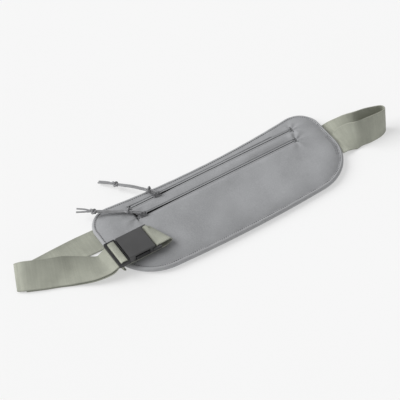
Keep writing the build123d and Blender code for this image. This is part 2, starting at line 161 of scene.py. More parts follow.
def bottom_edge(x, inset):
    """Height in Y of the pouch's bottom edge at x, set in from the outline."""
    rise, x = LEAN * x, np.abs(x)
    radius, corner = BOTTOM_BOW - inset, BOTTOM_CORNER - inset
    tangent = BOTTOM_CORNER_X * BOTTOM_BOW / (BOTTOM_BOW - BOTTOM_CORNER)
    bow = BOTTOM_BOW_Y - np.sqrt(radius**2 - x**2)
    arc = BOTTOM_CORNER_Y - np.sqrt(np.maximum(corner**2 - (x - BOTTOM_CORNER_X) ** 2, 0))
    return rise + np.where(x < tangent, bow, arc)


def ring(inset, spacing):
    """Evenly spaced points round the outline, set in by a distance, anticlockwise."""
    def arc(cx, cy, radius, start, stop):
        angles = np.radians(np.linspace(start, stop, 60))
        return np.column_stack([cx + radius * np.cos(angles), cy + radius * np.sin(angles)])

    top_lean = math.degrees(math.asin(TOP_CORNER_X / (TOP_BOW + TOP_CORNER)))
    bottom_lean = math.degrees(math.asin(BOTTOM_CORNER_X / (BOTTOM_BOW - BOTTOM_CORNER)))
    top, bottom = TOP_CORNER - inset, BOTTOM_CORNER - inset
    path = np.vstack([
        arc(TOP_CORNER_X, TOP_CORNER_Y, top, 0, 90 + top_lean),
        arc(0, TOP_BOW_Y, TOP_BOW + inset, 270 + top_lean, 270 - top_lean),
        arc(-TOP_CORNER_X, TOP_CORNER_Y, top, 90 - top_lean, 180),
        arc(-BOTTOM_CORNER_X, BOTTOM_CORNER_Y, bottom, 180, 270 - bottom_lean),
        arc(0, BOTTOM_BOW_Y, BOTTOM_BOW - inset, 270 - bottom_lean, 270 + bottom_lean),
        arc(BOTTOM_CORNER_X, BOTTOM_CORNER_Y, bottom, 270 + bottom_lean, 360),
    ])
    path[:, 1] += LEAN * path[:, 0]
    path = np.vstack([path, path[:1]])
    length = np.concatenate([[0], np.cumsum(np.linalg.norm(np.diff(path, axis=0), axis=1))])
    count = int(length[-1] / spacing)
    at = np.arange(count) * length[-1] / count
    return np.column_stack([np.interp(at, length, path[:, k]) for k in (0, 1)])


OUTLINE = ring(0, 1.5)


def edge_distance(x, y):
    """Distance of points inside the pouch from its outline."""
    points = np.column_stack([np.ravel(x), np.ravel(y)])
    best = np.full(len(points), np.inf)
    for corner in OUTLINE:
        best = np.minimum(best, np.hypot(points[:, 0] - corner[0], points[:, 1] - corner[1]))
    return best.reshape(np.shape(x))


# ---------------------------------------------------------------- mesh helpers

class Shape:
    """Vertices and faces gathered for one object, in millimetres."""

    def __init__(self):
        self.vertices = []
        self.faces = []
        self.uvs = []

    def add(self, vertices, faces, uvs=None):
        """Adds a part, with one (u, v) for each of its vertices if it has them."""
        start = len(self.vertices)
        self.vertices += [tuple(v) for v in vertices]
        self.faces += [[i + start for i in face] for face in faces]
        self.uvs += [tuple(uv) for uv in uvs] if uvs is not None else [(0, 0)] * len(vertices)

    def make(self, name, material):
        """The object, smooth-shaded, in metres."""
        mesh = bpy.data.meshes.new(name)
        mesh.from_pydata([[c * MM for c in v] for v in self.vertices], [], self.faces)
        layer = mesh.uv_layers.new(name="UVMap")
        for loop in mesh.loops:
            layer.data[loop.index].uv = self.uvs[loop.vertex_index]
        mesh.polygons.foreach_set("use_smooth", [True] * len(mesh.polygons))
        mesh.materials.append(material)
        mesh.update()
        obj = bpy.data.objects.new(name, mesh)
        bpy.context.scene.collection.objects.link(obj)
        return obj


def lattice(rows, columns, wrap_rows=False, wrap_columns=False):
    """Quads between the points of a rows by columns lattice."""
    faces = []
    for i in range(rows if wrap_rows else rows - 1):
        for j in range(columns if wrap_columns else columns - 1):
            a, b = i * columns + j, i * columns + (j + 1) % columns
            c = ((i + 1) % rows) * columns + (j + 1) % columns
            d = ((i + 1) % rows) * columns + j
            faces.append([a, b, c, d])
    return faces


def curve_through(points, steps):
    """Points along a smooth (Catmull-Rom) curve through the given ones."""
    p = np.array(points, float)
    p = np.vstack([2 * p[0] - p[1], p, 2 * p[-1] - p[-2]])
    result = []
    for i in range(1, len(p) - 2):
        a, b, c, d = p[i - 1 : i + 3]
        for k in range(steps):
            t = k / steps
            result.append(
                0.5 * (2 * b + (c - a) * t + (2 * a - 5 * b + 4 * c - d) * t**2
                       + (3 * b - a - 3 * c + d) * t**3)
            )
    return np.array(result + [p[-2]])


def respaced(points, spacing, *others):
    """Points at an even spacing along a path, with other per-point values carried along."""
    length = np.concatenate([[0], np.cumsum(np.linalg.norm(np.diff(points, axis=0), axis=1))])
    count = max(int(length[-1] / spacing), 2)
    at = np.linspace(0, length[-1], count + 1)
    result = [
        np.column_stack([np.interp(at, length, values[:, k]) for k in range(values.shape[1])])
        for values in (points, *others)
    ]
    return at, result


def unit(vectors):
    """The same directions, with a length of one."""
    return vectors / np.linalg.norm(vectors, axis=-1, keepdims=True)


def tube(shape, points, radii, sides, closed=False):
    """Adds a round tube along a path; radii is one number or one for each point."""
    points = np.array(points, float)
    count = len(points)
    radii = np.broadcast_to(np.array(radii, float), (count,))
    if closed:
        along = unit(np.roll(points, -1, axis=0) - np.roll(points, 1, axis=0))
    else:
        along = unit(np.gradient(points, axis=0))
    side = np.cross(along[0], (0.31, 0.17, 0.94))
    vertices = []
    for i in range(count):
        side = unit(side - along[i] * np.dot(side, along[i]))
        up = np.cross(along[i], side)
        for k in range(sides):
            angle = 2 * math.pi * k / sides
            vertices.append(points[i] + radii[i] * (math.cos(angle) * side + math.sin(angle) * up))
    faces = lattice(count, sides, wrap_rows=closed, wrap_columns=True)
    if not closed:
        faces.append(list(range(sides))[::-1])
        faces.append([(count - 1) * sides + k for k in range(sides)])
    shape.add(vertices, faces)


def stitch(shape, start, end, radius):
    """Adds one stitch: a short thread that dives into the fabric at both ends."""
    start, end = np.array(start, float), np.array(end, float)
    dive = np.array((0, 0, -1.6 * radius))
    path = [start + dive, start * 0.85 + end * 0.15, (start + end) / 2,
            start * 0.15 + end * 0.85, end + dive]
    tube(shape, path, [0.6 * radius, radius, radius, radius, 0.6 * radius], 6)


def solidify(obj, thickness):
    """Gives a sheet its thickness, all of it below the modelled side."""
    modifier = obj.modifiers.new("thickness", "SOLIDIFY")
    modifier.thickness = thickness * MM
    modifier.offset = -1.0
    return obj


def place(obj, body, slot, *nodes):
    """Rides a piece on its body and hides the CAD nodes it stands for; the slot is not used."""
    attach(obj, body)
    if nodes:
        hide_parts(*nodes)
    return obj


# ---------------------------------------------------------------- materials

WAVE_PITCH = math.tau / 20  # from one stripe of Blender's wave texture to the next, at scale 1


class Nodes:
    """A short way to build a node material."""

    def __init__(self, name, roughness, coordinates="Object"):
        self.material = bpy.data.materials.new(name)
        self.material.use_nodes = True
        self.tree = self.material.node_tree
        self.shader = self.tree.nodes["Principled BSDF"]
        self.shader.inputs["Roughness"].default_value = roughness
        self.where = self.add("ShaderNodeTexCoord").outputs[coordinates]

    def add(self, kind, **settings):
        node = self.tree.nodes.new(kind)
        for key, value in settings.items():
            setattr(node, key, value)
        return node

    def link(self, output, target):
        self.tree.links.new(output, target)

    def noise(self, scale, detail=2.0, stretch=(1, 1, 1)):
        mapping = self.add("ShaderNodeMapping")
        mapping.inputs["Scale"].default_value = stretch
        self.link(self.where, mapping.inputs["Vector"])
        texture = self.add("ShaderNodeTexNoise")
        texture.inputs["Scale"].default_value = scale
        texture.inputs["Detail"].default_value = detail
        self.link(mapping.outputs["Vector"], texture.inputs["Vector"])
        return texture.outputs["Fac"]

    def wave(self, direction, pitch, distortion=0.0):
        """Stripes across an axis, one every pitch metres."""
        texture = self.add("ShaderNodeTexWave", bands_direction=direction)
        texture.inputs["Scale"].default_value = WAVE_PITCH / pitch
        texture.inputs["Distortion"].default_value = distortion
        self.link(self.where, texture.inputs["Vector"])
        return texture.outputs["Fac"]

    def math(self, operation, a, b):
        node = self.add("ShaderNodeMath", operation=operation)
        for socket, value in zip(node.inputs, (a, b)):
            if isinstance(value, (int, float)):
                socket.default_value = value
            else:
                self.link(value, socket)
        return node.outputs[0]

    def ramp(self, factor, low, high, dark, light):
        """Colour between dark and light as the factor goes from low to high."""
        node = self.add("ShaderNodeValToRGB")
        first, last = node.color_ramp.elements
        first.position, last.position = low, high
        first.color, last.color = (*dark, 1), (*light, 1)
        self.link(factor, node.inputs["Fac"])
        return node.outputs["Color"]

    def multiply(self, a, b):
        """The product of two colours."""
        node = self.add("ShaderNodeMix", data_type="RGBA", blend_type="MULTIPLY")
        factor, first, second = (node.inputs[k] for k in (0, 6, 7))
        factor.default_value = 1.0
        self.link(a, first)
        self.link(b, second)
        return node.outputs[2]

    def colour(self, output):
        self.link(output, self.shader.inputs["Base Color"])

    def bump(self, height, distance):
        node = self.add("ShaderNodeBump")
        node.inputs["Distance"].default_value = distance
        self.link(height, node.inputs["Height"])
        self.link(node.outputs["Normal"], self.shader.inputs["Normal"])


def shade(colour, factor):
    """The colour made darker or lighter, kept below white."""
    return tuple(min(c * factor, 1.0) for c in colour)


def fabric(name, colour, pitch, depth, mottle, sheen):
    """Plain-woven cloth: fine crossed threads over a faint, cloudy change of tone."""
    n = Nodes(name, 0.86)
    threads = n.math("MULTIPLY", n.wave("X", pitch, 0.6), n.wave("Y", pitch, 0.6))
    tone = n.ramp(n.noise(26.0, 4.0), 0.35, 0.68, shade(colour, 1 - mottle), shade(colour, 1 + mottle))
    grain = n.ramp(n.noise(900.0, 2.0), 0.3, 0.7, (0.9,) * 3, (1.06,) * 3)
    weave = n.ramp(threads, 0.0, 0.8, (0.92,) * 3, (1.03,) * 3)
    n.colour(n.multiply(n.multiply(tone, grain), weave))
    n.bump(n.math("ADD", threads, n.math("MULTIPLY", n.noise(120.0, 3.0), 0.6)), depth)
    n.shader.inputs["Sheen Weight"].default_value = sheen
    n.shader.inputs["Sheen Roughness"].default_value = 0.4
    return n.material


def webbing_cloth(name, colour):
    """Elastic webbing: cross ribs, fine lengthwise cords and darker edges, from the strip's own UVs."""
    n = Nodes(name, 0.82, "UV")
    ribs = n.wave("X", RIB_PITCH * MM / 2, 0.3)
    cords = n.wave("Y", 0.0011, 0.4)
    split = n.add("ShaderNodeSeparateXYZ")
    n.link(n.where, split.inputs[0])
    half = WEB_WIDTH / 2 * MM
    edge = n.math("DIVIDE", n.math("ABSOLUTE", split.outputs["Y"], 0.0), half)
    tone = n.ramp(n.noise(26.0, 5.0), 0.3, 0.7, shade(colour, 0.8), shade(colour, 1.12))
    # painted sheen: light and dark streaks across the strip that stand in for light on its small folds
    painted_fold_sheen = n.ramp(n.noise(420.0, 2.0, (1, 0.06, 1)), 0.3, 0.7, (0.93,) * 3, (1.04,) * 3)
    tone = n.multiply(tone, painted_fold_sheen)
    ribbed = n.ramp(ribs, 0.1, 0.9, (0.78,) * 3, (1.08,) * 3)
    corded = n.ramp(cords, 0.1, 0.9, (0.95,) * 3, (1.03,) * 3)
    # darker along both edges
    border = n.ramp(edge, 0.9, 0.94, (1.0,) * 3, (0.9,) * 3)
    n.colour(n.multiply(n.multiply(n.multiply(tone, ribbed), corded), border))
    n.bump(n.math("ADD", ribs, n.math("MULTIPLY", cords, 0.4)), 0.00018)
    n.shader.inputs["Sheen Weight"].default_value = 0.12
    return n.material


def cord_cloth(name, colour):
    """Braided cord: short diagonal threads."""
    n = Nodes(name, 0.8)
    braid = n.wave("DIAGONAL", 0.0011, 1.2)
    n.colour(n.ramp(braid, 0.15, 0.85, shade(colour, 0.62), shade(colour, 1.12)))
    n.bump(braid, 0.00016)
    return n.material


def plastic(name, colour, roughness, grain):
    """Moulded plastic with a fine spark-eroded grain and faint wear."""
    n = Nodes(name, roughness)
    speck = n.noise(1500.0, 2.0)
    wear = n.noise(45.0, 5.0)
    n.colour(n.ramp(wear, 0.3, 0.75, shade(colour, 0.88), shade(colour, 1.16)))
    n.link(n.math("ADD", n.math("MULTIPLY", wear, 0.16), roughness - 0.08), n.shader.inputs["Roughness"])
    n.bump(speck, grain)
    return n.material


def painted_metal(name, colour):
    """Painted zip metal with small rubbed spots."""
    n = Nodes(name, 0.42)
    spots = n.noise(700.0, 3.0)
    n.colour(n.ramp(spots, 0.35, 0.75, shade(colour, 0.8), shade(colour, 1.25)))
    n.shader.inputs["Metallic"].default_value = 0.35
    n.bump(spots, 0.00004)
    return n.material


def floor_paint():
    """A plain pale floor that glows a little of its own."""
    n = Nodes("pale_floor", 0.9)
    n.colour(n.ramp(n.noise(3.0, 2.0), 0.2, 0.8, (0.445,) * 3, (0.455,) * 3))
    n.shader.inputs["Emission Color"].default_value = (1, 1, 1, 1)
    n.shader.inputs["Emission Strength"].default_value = FLOOR_GLOW
    return n.material


FACE_GREY = (0.325, 0.330, 0.340)
MATERIALS = {
    "face": fabric("face_fabric", FACE_GREY, 0.00055, 0.00007, 0.09, 0.10),
    # near black: painted shade, so the gaps seen through the zips and the slit at the strip's end read
    # as deep shadow
    "lining": fabric("lining_fabric", (0.05, 0.051, 0.054), 0.0007, 0.00008, 0.04, 0.0),
    "back": fabric("back_fabric", (0.30, 0.305, 0.315), 0.0007, 0.00008, 0.04, 0.05),
    "binding": fabric("binding_tape", (0.385, 0.39, 0.40), 0.0009, 0.00012, 0.03, 0.15),
    # the thread's dark grey deepened to near black: painted shade for the groove along the binding
    "thread": cord_cloth("thread", (0.05, 0.051, 0.054)),
    "tape": fabric("zip_tape", (0.335, 0.34, 0.35), 0.0006, 0.0001, 0.03, 0.05),
    # near black: painted shade, so the slits between the zip rows read dark
    "coil": plastic("zip_coil", (0.04, 0.041, 0.043), 0.45, 0.00002),
    "slider": painted_metal("slider_paint", (0.22, 0.222, 0.23)),
    "cord": cord_cloth("cord", (0.31, 0.312, 0.32)),
    "webbing": webbing_cloth("webbing", (0.435, 0.448, 0.375)),
    # one buckle plastic in two tones: the lighter copy on the female shell is painted light for its
    # glossy upward face, the darker copy is painted shade for the male half and prongs
    "buckle": plastic("buckle_lit_plastic", (0.062, 0.062, 0.063), 0.38, 0.00003),
    "buckle_shade": plastic("buckle_shade_plastic", (0.022, 0.022, 0.023), 0.42, 0.00003),
}


# ---------------------------------------------------------------- pouch

def dome(distance):
    """How far the pouch has filled out at a distance from its rim, 0 to 1."""
    t = np.clip((distance - 3.0) / DOME_REACH, 0, 1)
    return 1 - (1 - t) ** 2.3


def cloud(x, y, size, seed):
    """Smooth noise at every point, about -1 to 1."""
    flat = [noise.noise((a / size, b / size, seed)) for a, b in zip(np.ravel(x), np.ravel(y))]
    return np.array(flat).reshape(np.shape(x))


def pucker(x, y, cx, cy, folds, turn):
    """Folds that run out of one point, as at the end of a sewn zip."""
    radius = np.hypot(x - cx, y - cy)
    angle = np.arctan2(y - cy, x - cx)
    spread = np.exp(-radius / 9.0) * (1 - np.exp(-radius / 2.0))
    return 1.3 * np.cos(folds * angle + turn) * spread - 0.5 * np.exp(-((radius / 2.2) ** 2))


def mound(x, y, cx, cy, wide, deep):
    """A smooth rise round one point."""
    return np.exp(-(((x - cx) / wide) ** 2) - ((y - cy) / deep) ** 2)


def face_height(x, y):
    """Height of the pouch's face: a low dome with soft unevenness and puckers at the zip ends."""
    d = edge_distance(x, y)
    z = RIM_Z + (FACE_Z - RIM_Z) * dome(d)
    inside = np.clip((d - 4) / 12, 0, 1)
    z += inside * (0.9 * cloud(x, y, 55.0, 1.7) + 0.35 * cloud(x, y, 21.0, 4.2))
    ends = np.exp(-(HALF_LENGTH - np.abs(x)) / 35.0)
    z += 0.9 * inside * ends * cloud(x * 0.6 + y * 0.8, (y * 0.6 - x * 0.8) / 3, 13.0, 7.7)
    for (cy, right), turn in zip(ZIPS, (0.4, 1.9)):
        z += inside * pucker(x, y, right + 3, cy, 6, turn)
        z += 0.6 * inside * pucker(x, y, ZIP_LEFT - 4, cy, 5, turn + 1)
    z += BULGE_HEIGHT * mound(x, y, *BULGE)
    z -= DIP_DEPTH * mound(x, y, *DIP)
    gather = np.exp(-(HALF_LENGTH - np.abs(x)) / 9.0)
    z += 0.16 * gather * np.sin(1.25 * y + 0.4 * np.sign(x))
    for cy, right in ZIPS:
        along = np.clip((x - ZIP_LEFT + 6) / 4, 0, 1) * np.clip((right + 6 - x) / 4, 0, 1)
        flat = along * np.exp(-((np.abs(y - cy) / 5.4) ** 6))
        z = z * (1 - flat) + ZIP_Z * flat
    return z


def strip_end(y):
    """X of the free left end of the strip between the zips."""
    return ZIP_LEFT - 0.38 * (y - FRONT_ZIP_Y)


def face_rows(x, inset):
    """Y of every row of the face at x: dense at the rim and exact at the zip slots."""
    knots = [FRONT_ZIP_Y - SLOT_HALF, FRONT_ZIP_Y + SLOT_HALF, MAIN_ZIP_Y - SLOT_HALF,
             MAIN_ZIP_Y + SLOT_HALF]
    last_full = 116.0  # beyond this the outline curves in and squeezes the rows
    reach = math.copysign(min(abs(x), last_full), x)
    low, high = float(bottom_edge(reach, inset)), float(top_edge(reach, inset))
    rim = 1 - np.cos(np.linspace(0, math.pi / 2, 47))
    lower = low + (knots[0] - low) * rim / rim[-1]
    upper = high - (high - knots[3]) * (rim[::4] / rim[-1])[::-1]
    rows = np.concatenate([
        lower[:-1],
        np.linspace(knots[0], knots[1], 7)[:-1],
        np.linspace(knots[1], knots[2], 9)[:-1],
        np.linspace(knots[2], knots[3], 7)[:-1],
        upper,
    ])
    true_low, true_high = float(bottom_edge(x, inset)), float(top_edge(x, inset))
    return true_low + (rows - low) * (true_high - true_low) / (high - low)


def face_columns(inset, count):
    """X of every column of a sheet: dense at both ends, where the outline curves."""
    half = HALF_LENGTH - inset
    return half * np.sin(np.linspace(-math.pi / 2, math.pi / 2, count))


def pouch_face():
    """The face of the pouch, with both zip slots and the lifted end of the strip between them."""
    columns = face_columns(PANEL_INSET, 300)
    y = np.array([face_rows(x, PANEL_INSET) for x in columns])
    x = np.repeat(columns[:, None], y.shape[1], axis=1)
    z = face_height(x, y)
    past_end = x - strip_end(y)
    strip = np.clip((y - 21.5) / 3, 0, 1) * np.clip((32 - y) / 5, 0, 1)
    z += 1.2 * strip * np.clip(past_end + 0.5, 0, 1) * np.exp(-np.maximum(past_end, 0) / 5)
    shape = Shape()
    rows = y.shape[1]
    faces = []
    for face in lattice(len(columns), rows):
        cx = np.mean([x.flat[i] for i in face])
        cy = np.mean([y.flat[i] for i in face])
        in_slot = any(
            abs(cy - zip_y) < SLOT_HALF and ZIP_LEFT - SLOT_OVERRUN < cx < right + SLOT_OVERRUN
            for zip_y, right in ZIPS
        )
        end_slit = abs(cx - strip_end(cy)) < STRIP_SLIT_HALF and FRONT_ZIP_Y < cy < 31
        if not (in_slot or end_slit):
            faces.append(face[::-1])
    shape.add(np.column_stack([x.ravel(), y.ravel(), z.ravel()]), faces)
    obj = solidify(shape.make("pouch_face", MATERIALS["face"]), FACE_FABRIC)
    return place(obj, "root", "face_fabric", "front_panel")


def flat_sheet(name, material, inset, height, top_limit, thickness):
    """A sheet across the pouch whose height is a function of the distance from the rim."""
    columns = face_columns(inset, 120)
    share = np.linspace(0, 1, 60)
    low = bottom_edge(columns, inset)
    high = np.minimum(top_edge(columns, inset), top_limit)
    y = low[:, None] + (high - low)[:, None] * share
    x = np.repeat(columns[:, None], len(share), axis=1)
    z = height(x, y)
    shape = Shape()
    faces = [face[::-1] for face in lattice(len(columns), len(share))]
    shape.add(np.column_stack([x.ravel(), y.ravel(), z.ravel()]), faces)
    return solidify(shape.make(name, MATERIALS[material]), thickness)


def pouch_back():
    """The back of the pouch: nearly flat."""
    def height(x, y):
        d = edge_distance(x, y)
        return BACK_Z + 0.12 * cloud(x, y, 40.0, 9.0) * np.clip((d - 5) / 10, 0, 1)

    obj = flat_sheet("pouch_back", "back", PANEL_INSET, height, math.inf, BACK_FABRIC)
    return place(obj, "root", "back_fabric", "back_panel")


def pocket_lining():
    """The lining between the two pockets, which fills out less than the face."""
    def height(x, y):
        return LINING_Z + 2.4 * dome(edge_distance(x, y)) + 0.15 * cloud(x, y, 25.0, 3.0)

    obj = flat_sheet("pocket_lining", "lining", LINING_INSET, height, LINING_TOP_Y, LINING_FABRIC)
    return place(obj, "root", "lining_fabric", "divider_panel")


def edge_binding():
    """The folded tape round the edge, as a swept C with a groove where it is stitched."""
    outer = [(4.6, 5.45), (4.0, 5.75), (3.75, 5.6), (3.4, 5.6), (3.1, 5.85), (2.2, 5.95),
             (1.1, 5.55), (0.35, 4.7), (0.0, 3.4), (0.05, 2.1), (0.5, 0.9), (1.4, 0.2),
             (2.8, 0.0), (4.6, 0.0)]
    inner = [(4.6, 0.65), (2.9, 0.7), (1.6, 1.1), (0.95, 2.2), (0.9, 3.3), (1.3, 4.3),
             (2.2, 5.0), (4.6, 4.9)]
    section = outer + inner
    rings = [ring(max(inset, 0.001), 1.5) for inset, _ in section]
    count = min(len(r) for r in rings)
    shape = Shape()
    at = np.arange(count) / count
    bead = 1 + 0.018 * np.sin(2 * math.pi * at * count / 2.0) + 0.02 * np.sin(2 * math.pi * at * 37)
    columns = []
    for (inset, z), path in zip(section, rings):
        share = np.arange(len(path) + 1) / len(path)
        closed = np.vstack([path, path[:1]])
        columns.append(np.column_stack([
            np.interp(at, share, closed[:, 0]),
            np.interp(at, share, closed[:, 1]),
            z * bead,
        ]))
    points = np.stack(columns, axis=1).reshape(-1, 3)
    shape.add(points, lattice(count, len(section), wrap_rows=True, wrap_columns=True))
    return place(shape.make("binding_tape", MATERIALS["binding"]), "root", "binding", "edge_binding")


def binding_stitches():
    """The lines of thread that hold the binding down, on both sides."""
    shape = Shape()
    path = ring(BINDING_STITCH_INSET, BINDING_STITCH_LENGTH)
    pairs = list(zip(path[:-1:2], path[1::2]))
    for start, end in pairs:
        stitch(shape, (*start, BINDING_STITCH_TOP_Z), (*end, BINDING_STITCH_TOP_Z), FACE_THREAD)
    for start, end in pairs:
        tube(shape, [(*start, 0.0), (*end, 0.0)], BACK_THREAD, 6)
    return place(shape.make("binding_stitches", MATERIALS["thread"]), "root", "thread", "binding_stitch")


def seam_stitches(name, side, y, node):
    """Two rows of stitches that hold a webbing end in the pouch's edge."""
    shape = Shape()
    for inset in SEAM_STITCH_INSETS:
        path = ring(inset, SEAM_STITCH_LENGTH)
        chosen = path[(np.sign(path[:, 0]) == side) & (np.abs(path[:, 1] - y) < WEB_WIDTH / 2)]
        chosen = chosen[np.argsort(chosen[:, 1])]
        z = face_height(chosen[:, 0], chosen[:, 1]) + 0.12
        for i in range(0, len(chosen) - 1, 2):
            stitch(shape, (*chosen[i], z[i]), (*chosen[i + 1], z[i + 1]), SEAM_THREAD)
    return place(shape.make(name, MATERIALS["thread"]), "root", "thread", node)


def bar_tacks():
    """Dense zigzag stitching across the ends of both zips."""
    shape = Shape()
    for cy, right in ZIPS:
        for cx in (ZIP_LEFT - SLOT_OVERRUN - TACK_REACH, right + SLOT_OVERRUN + TACK_REACH):
            ys = np.linspace(cy - TACK_HALF_HEIGHT, cy + TACK_HALF_HEIGHT, TACK_POINTS)
            xs = cx + TACK_HALF_WIDTH * np.where(np.arange(TACK_POINTS) % 2, 1, -1)
            zs = face_height(xs, ys) + 0.1
            for i in range(TACK_POINTS - 1):
                stitch(shape, (xs[i], ys[i], zs[i]), (xs[i + 1], ys[i + 1], zs[i + 1]), TACK_THREAD)
    return place(shape.make("zip_end_tacks", MATERIALS["thread"]), "root", "thread", "bar_tacks")


# ---------------------------------------------------------------- zips

def half_gap(x, right, slider_x, opening):
    """Half the gap between a zip's two rows: narrow, but parted for a while right of its slider."""
    past = x - slider_x - 2.5
    parted = 1.3 * np.clip(past / 6, 0, 1) ** 0.6 * np.exp(-np.maximum(past, 0) / opening)
    near_end = np.clip((right - x) / 12.0, 0, 1)
    return CLOSED_HALF_GAP + parted * near_end


def zip_half(prefix, cy, right, side, slider_x, opening):
    """One half of a zip: a woven tape, level with the face, and the row of coil under its edge."""
    word = "upper" if side > 0 else "lower"
    x = np.linspace(ZIP_LEFT, right, 214)
    gap = half_gap(x, right, slider_x, opening)
    across = np.array([0.0, 0.5, 1.0, 1.5, 2.1, 2.8, 3.6, 5.0, 7.0]) / TAPE_REACH
    away = gap[:, None] + across * (TAPE_REACH - gap[:, None])
    tuck = np.clip((away - SLOT_HALF + 0.5) / 0.5, 0, 1)
    edge = 0.12 * np.exp(-(away - gap[:, None]) / 0.3)
    z = ZIP_Z - 0.08 - 0.5 * tuck - edge
    points = np.column_stack([np.repeat(x, len(across)), (cy + side * away).ravel(), z.ravel()])
    faces = lattice(len(x), len(across))
    if side > 0:
        faces = [face[::-1] for face in faces]
    tape = Shape()
    tape.add(points, faces)
    tape = solidify(tape.make(f"{prefix}_tape_{word}_cloth", MATERIALS["tape"]), TAPE_CLOTH)
    place(tape, "root", "zip_tape", f"{prefix}_tape_{word}")

    steps = int((right - ZIP_LEFT) / COIL_PITCH * 5)
    x = np.linspace(ZIP_LEFT + 0.3, right - 0.3, steps)
    gap = half_gap(x, right, slider_x, opening)
    turn = np.abs(np.sin(math.pi * (x / COIL_PITCH + (0.5 if side > 0 else 0))))
    radius = 0.34 + 0.14 * np.sqrt(turn)
    path = np.column_stack([x, cy + side * (gap + 0.5), np.full_like(x, COIL_Z)])
    coil = Shape()
    tube(coil, path, radius, 8)
    coil = coil.make(f"{prefix}_coil_{word}_turns", MATERIALS["coil"])
    place(coil, "root", "zip_coil", f"{prefix}_coil_{word}")


# ---------------------------------------------------------------- cords

def knot(shape, centre, turn):
    """A tight overhand knot: a trefoil of cord."""
    t = np.linspace(0, 2 * math.pi, 60, endpoint=False)
    loop = KNOT_SIZE * np.column_stack([
        np.sin(t) + 2 * np.sin(2 * t), np.cos(t) - 2 * np.cos(2 * t), -1.3 * np.sin(3 * t)
    ])
    spin = np.array(Matrix.Rotation(turn, 3, "Z") @ Matrix.Rotation(0.6, 3, "X"))
    tube(shape, loop @ spin.T + np.array(centre), 1.05 * CORD_RADIUS, 8, closed=True)


def cord(prefix, slider_x, cy, path, sag, spread):
    """A doubled cord through the slider's bail, with two knots and two loose tails."""
    first, second, tip = (np.array(p) for p in path)
    bail = np.array((slider_x, cy, BAIL_Z))
    reach = unit((first - bail) * (1, 1, 0))
    side = np.cross(reach, (0, 0, 1))
    loop = Shape()
    over = np.array((0, 0, EYE_HALF_HEIGHT))
    under = -over
    ring_path = [first + 0.6 * side, (first + bail) / 2 + over + 0.5 * side, bail + over,
                 bail - 1.8 * reach, bail + under + 0.2 * reach,
                 (first + bail) / 2 + under * 0.9 - 0.5 * side, first - 0.6 * side]
    tube(loop, curve_through(ring_path, 8), EYE_RADIUS, 8)
    knot(loop, first, 0.4)
    loop = loop.make(f"{prefix}_cord_eye", MATERIALS["cord"])
    place(loop, f"{prefix}_loop", "cord", f"{prefix}_cord_loop")

    run = unit(second - first)
    side = unit(np.cross(run, (0, 0, 1)))
    pull = Shape()
    for sign in (-1, 1):
        middle = (first + second) / 2 + np.array((0, 0, sag)) + side * sign * STRAND_SPREAD
        strand = [first + run * 1.2 + side * sign * 0.5, first + run * 6 + side * sign * 0.95,
                  middle, second - run * 5 + side * sign * 0.95, second + side * sign * 0.4]
        tube(pull, curve_through(strand, 8), CORD_RADIUS, 8)
        end = tip + side * sign * spread
        tail = [second, (second + end) / 2 + side * sign * 0.5 + np.array((0, 0, 0.6)), end]
        tube(pull, curve_through(tail, 8), CORD_RADIUS, 8)
    knot(pull, second, 1.7)
    pull = pull.make(f"{prefix}_cord_strands", MATERIALS["cord"])
    place(pull, f"{prefix}_pull", "cord", f"{prefix}_cord")


# ---------------------------------------------------------------- webbing

def webbing(name, stations):
    """A strip of ribbed elastic through stations: the run's middle and the direction of its width."""
    middles = curve_through([m for m, _ in stations], 14)
    widths = curve_through([w for _, w in stations], 14)
    at, (middles, widths) = respaced(middles, RIB_PITCH / 2, widths)
    along = unit(np.gradient(middles, axis=0))
    widths = unit(widths)
    up = unit(np.cross(along, widths))
    half, thick = WEB_WIDTH / 2, WEB_THICKNESS / 2
    top = [(-1.0, 0.3), (-0.985, 0.85), (-0.94, 1.0), (-0.92, 0.8), (-0.5, 0.9), (0.0, 0.9),
           (0.5, 0.9), (0.92, 0.8), (0.94, 1.0), (0.985, 0.85), (1.0, 0.3)]
    section = top + [(a, -b) for a, b in reversed(top)]
    rib = 1 + RIB_DEPTH * np.where(np.arange(len(at)) % 2, 1, -1)
    wander = 0.25 * np.array([noise.noise((s / 38.0, 0.3, 5.0)) for s in at])
    vertices, uvs = [], []
    for i in range(len(at)):
        for across, lift in section:
            edge_pull = half * across * (1 + 0.004 * rib[i]) + wander[i]
            vertices.append(middles[i] + widths[i] * edge_pull + up[i] * thick * lift * rib[i])
            uvs.append((at[i] * MM, across * half * MM))
    count = len(section)
    faces = lattice(len(at), count, wrap_columns=True)
    faces.append(list(range(count))[::-1])
    faces.append([(len(at) - 1) * count + k for k in range(count)])
    shape = Shape()
    shape.add(vertices, [face[::-1] for face in faces], uvs)
    return shape.make(name, MATERIALS["webbing"])


def level_run(profile, width=FLAT):
    """Stations of a run along the buckle, level across its width, from points in the XZ plane."""
    return [((x, BUCKLE_Y, z), width) for x, z in profile]


FOLD = ((-251, 20.5, 5.6), (0.36, 0.86, 0.36))
FEED = [
    ((-243.5, 12.5, 10.8), (0.33, 0.72, 0.61)),
    ((-226.5, 3.8, 11.5), (0.29, 0.69, 0.66)),
    ((-209, -3.2, 11.1), (0.25, 0.71, 0.66)),
    ((-194, -8.1, 8.4), (0.26, 0.88, 0.40)),
    ((-179, -15, 7.6), (0.20, 0.97, 0.16)),
    ((-166, -19.3, 7.7), (0.05, 1, -0.06)),
    ((-160, -20, 9.9), (0, 1, -0.05)),
]


def beneath(stations):
    """The way back under a run: below its stations, and slipped towards its near edge."""
    middles = np.array([middle for middle, _ in stations])
    widths = unit(np.array([width for _, width in stations], float))
    up = unit(np.cross(np.gradient(middles, axis=0), widths))
    lower = middles - up * TAIL_GAP - widths * TAIL_SLIP
    return list(zip(lower, widths))[::-1]


